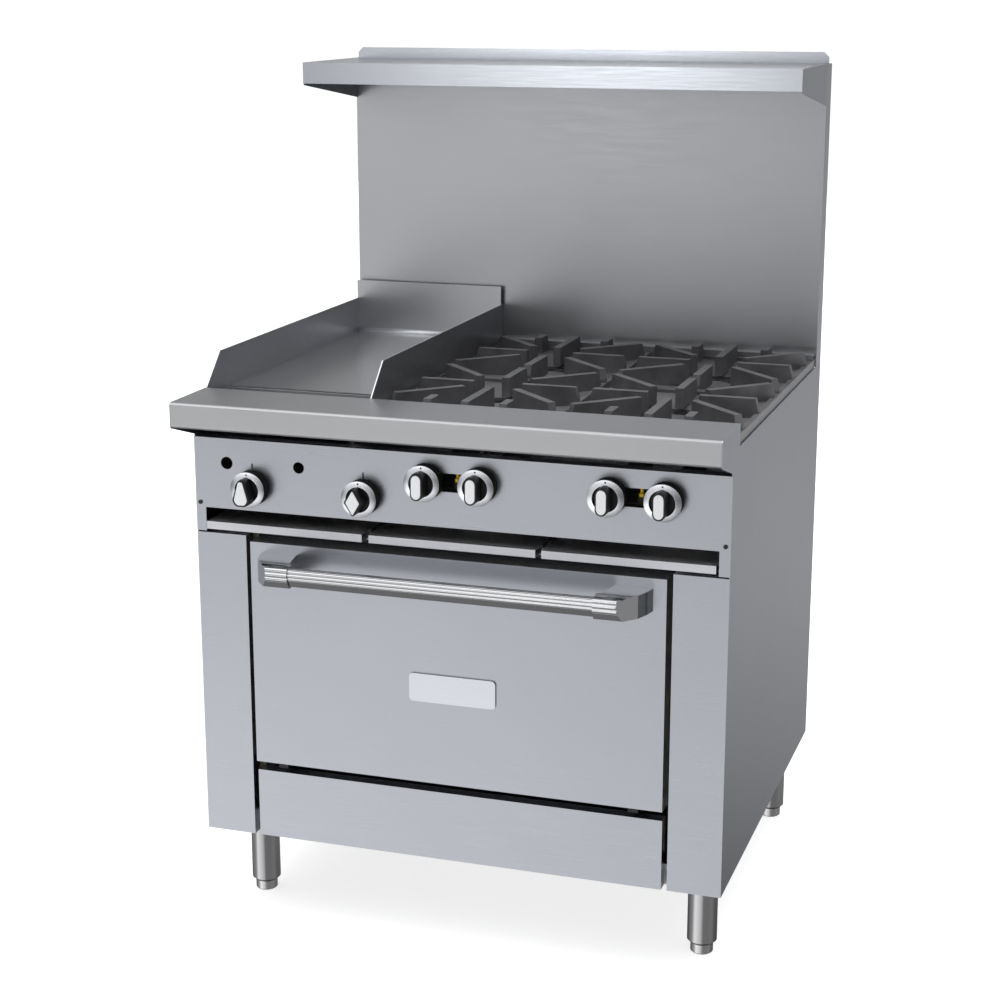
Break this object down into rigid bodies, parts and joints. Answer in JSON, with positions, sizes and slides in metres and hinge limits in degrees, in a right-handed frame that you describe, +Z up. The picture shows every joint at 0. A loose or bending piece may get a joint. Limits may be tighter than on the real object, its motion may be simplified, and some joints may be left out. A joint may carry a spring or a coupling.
{
  "type": "commercial gas range",
  "caption": "Free-standing commercial gas range with a griddle, open burners under cast grates, an oven with a drop-down door, drip trays, a high shelf and adjustable legs.",
  "frame": {"origin": "on the floor, under the centre of the range's overall width and depth", "axes": "+Z up, the front with its knobs and door faces -Y, +X is to the right of someone standing in front"},
  "size_m": [0.9, 0.863, 1.448],
  "materials": {
    "stainless": "brushed stainless steel sheet",
    "bright_steel": "polished steel",
    "foot_steel": "plated steel",
    "galvanised": "aluminised steel sheet",
    "griddle_steel": "ground steel plate",
    "cast_iron": "rough black cast iron",
    "gas_pipe": "black pipe",
    "brass": "machined brass",
    "enamel": "porcelain enamel",
    "insulation": "mineral wool",
    "knob": "black knob body",
    "knob_ring": "chromed ring",
    "knob_grip": "satin metal grip cap",
    "badge_face": "satin plate"
  },
  "bodies": {
    "range_body": {"side_panel_left": "stainless", "side_panel_right": "stainless", "back_panel": "galvanised", "base_frame": "galvanised", "lower_cover_left": "stainless", "lower_cover_right": "stainless", "kick_panel": "stainless", "control_panel": "stainless", "panel_screws": "bright_steel", "plate_rail": "stainless", "cooktop_frame": "stainless", "backguard_front": "stainless", "backguard_rear": "galvanised", "high_shelf": "stainless", "shelf_gussets": "stainless", "griddle_plate": "griddle_steel", "griddle_splash_guard": "stainless", "grease_trough": "stainless", "griddle_burner": "gas_pipe", "gas_manifold": "gas_pipe", "gas_valves": "brass", "oven_thermostat": "brass", "pilot_valves": "brass", "gas_regulator": "gas_pipe", "burner_bases": "cast_iron", "burner_caps": "cast_iron", "oven_liner": "enamel", "oven_insulation": "insulation", "oven_deck": "enamel", "oven_burner": "gas_pipe", "rack_guides": "bright_steel", "legs": "bright_steel", "hinge_brackets": "bright_steel", "oven_flue": "galvanised", "tray_shelf": "galvanised"},
    "oven_door": {"door_skin": "stainless", "door_liner": "enamel", "door_insulation": "insulation", "door_hinges": "bright_steel", "handle_bar": "bright_steel", "handle_brackets": "bright_steel", "badge_plate": "bright_steel"},
    "grease_drawer": {"grease_drawer": "stainless"},
    "drip_tray_center": {"drip_tray_center": "stainless"},
    "drip_tray_right": {"drip_tray_right": "stainless"},
    "knob_griddle": {"knob_griddle": "knob"},
    "knob_oven": {"knob_oven": "knob"},
    "knob_front_left": {"knob_front_left": "knob"},
    "knob_rear_left": {"knob_rear_left": "knob"},
    "knob_front_right": {"knob_front_right": "knob"},
    "knob_rear_right": {"knob_rear_right": "knob"},
    "grate_front_left": {"grate_front_left": "cast_iron"},
    "grate_front_right": {"grate_front_right": "cast_iron"},
    "grate_rear_left": {"grate_rear_left": "cast_iron"},
    "grate_rear_right": {"grate_rear_right": "cast_iron"},
    "oven_rack": {"oven_rack": "bright_steel"},
    "foot_front_left": {"foot_front_left": "foot_steel"},
    "foot_front_right": {"foot_front_right": "foot_steel"},
    "foot_rear_left": {"foot_rear_left": "foot_steel"},
    "foot_rear_right": {"foot_rear_right": "foot_steel"}
  },
  "joints": [
    {"name": "door_hinge", "type": "hinge", "parent": "range_body", "child": "oven_door", "pos_m": [0, -0.3475, 0.284], "axis": [1, 0, 0], "range_deg": [0, 90], "stiffness_Nm_per_rad": 10, "springref_deg": -28.65},
    {"name": "grease_drawer_slide", "type": "slide", "parent": "range_body", "child": "grease_drawer", "axis": [0, -1, 0], "range_m": [0, 0.5]},
    {"name": "drip_tray_center_slide", "type": "slide", "parent": "range_body", "child": "drip_tray_center", "axis": [0, -1, 0], "range_m": [0, 0.5]},
    {"name": "drip_tray_right_slide", "type": "slide", "parent": "range_body", "child": "drip_tray_right", "axis": [0, -1, 0], "range_m": [0, 0.5]},
    {"name": "knob_griddle_turn", "type": "hinge", "parent": "range_body", "child": "knob_griddle", "pos_m": [-0.3466, -0.3695, 0.767], "axis": [0, -1, 0], "range_deg": [0, 90]},
    {"name": "knob_oven_turn", "type": "hinge", "parent": "range_body", "child": "knob_oven", "pos_m": [-0.1516, -0.3695, 0.767], "axis": [0, -1, 0], "range_deg": [0, 270]},
    {"name": "knob_front_left_turn", "type": "hinge", "parent": "range_body", "child": "knob_front_left", "pos_m": [-0.044, -0.3695, 0.801], "axis": [0, -1, 0], "range_deg": [0, 90]},
    {"name": "knob_rear_left_turn", "type": "hinge", "parent": "range_body", "child": "knob_rear_left", "pos_m": [0.046, -0.3695, 0.801], "axis": [0, -1, 0], "range_deg": [0, 90]},
    {"name": "knob_front_right_turn", "type": "hinge", "parent": "range_body", "child": "knob_front_right", "pos_m": [0.257, -0.3695, 0.801], "axis": [0, -1, 0], "range_deg": [0, 90]},
    {"name": "knob_rear_right_turn", "type": "hinge", "parent": "range_body", "child": "knob_rear_right", "pos_m": [0.347, -0.3695, 0.801], "axis": [0, -1, 0], "range_deg": [0, 90]},
    {"name": "grate_front_left_lift", "type": "slide", "parent": "range_body", "child": "grate_front_left", "axis": [0, 0, 1], "range_m": [0, 0.08]},
    {"name": "grate_front_right_lift", "type": "slide", "parent": "range_body", "child": "grate_front_right", "axis": [0, 0, 1], "range_m": [0, 0.08]},
    {"name": "grate_rear_left_lift", "type": "slide", "parent": "range_body", "child": "grate_rear_left", "axis": [0, 0, 1], "range_m": [0, 0.08]},
    {"name": "grate_rear_right_lift", "type": "slide", "parent": "range_body", "child": "grate_rear_right", "axis": [0, 0, 1], "range_m": [0, 0.08]},
    {"name": "oven_rack_slide", "type": "slide", "parent": "range_body", "child": "oven_rack", "axis": [0, -1, 0], "range_m": [0, 0.025]},
    {"name": "foot_front_left_screw", "type": "slide", "parent": "range_body", "child": "foot_front_left", "axis": [0, 0, -1], "range_m": [0, 0.025]},
    {"name": "foot_front_right_screw", "type": "slide", "parent": "range_body", "child": "foot_front_right", "axis": [0, 0, -1], "range_m": [0, 0.025]},
    {"name": "foot_rear_left_screw", "type": "slide", "parent": "range_body", "child": "foot_rear_left", "axis": [0, 0, -1], "range_m": [0, 0.025]},
    {"name": "foot_rear_right_screw", "type": "slide", "parent": "range_body", "child": "foot_rear_right", "axis": [0, 0, -1], "range_m": [0, 0.025]}
  ]
}
